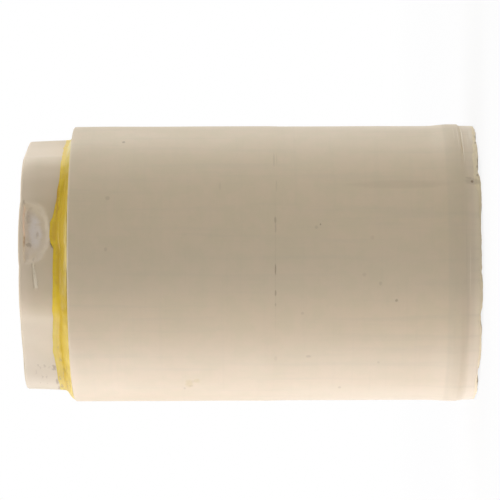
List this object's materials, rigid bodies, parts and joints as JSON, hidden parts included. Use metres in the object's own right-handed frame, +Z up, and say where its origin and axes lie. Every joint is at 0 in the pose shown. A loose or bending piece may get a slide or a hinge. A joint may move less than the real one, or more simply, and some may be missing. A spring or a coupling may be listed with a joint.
{
  "type": "reducing coupling",
  "caption": "Straight moulded plastic pipe coupling with a hexagon-headed reducing bushing cemented into one end, joining a larger pipe to a smaller one.",
  "frame": {"origin": "centre of the coupling's open mouth, on the pipe axis, at the face it stands on", "axes": "+Z up the pipe axis, from the coupling's open mouth to the bushing's head; -Y faces the picture's camera; the picture shows +Z to the left"},
  "size_m": [0.0418, 0.0418, 0.0674],
  "materials": {
    "coupling_plastic": "aged beige moulded plastic, satin, with fine handling marks",
    "bushing_plastic": "aged beige moulded plastic, satin, torn on one flat",
    "solvent_cement": "set yellow pipe cement, glossy, streaked and a little dirty"
  },
  "bodies": {
    "root": {"coupling_body": "coupling_plastic", "reducing_bushing": "bushing_plastic", "cement_bead": "solvent_cement"}
  },
  "joints": []
}
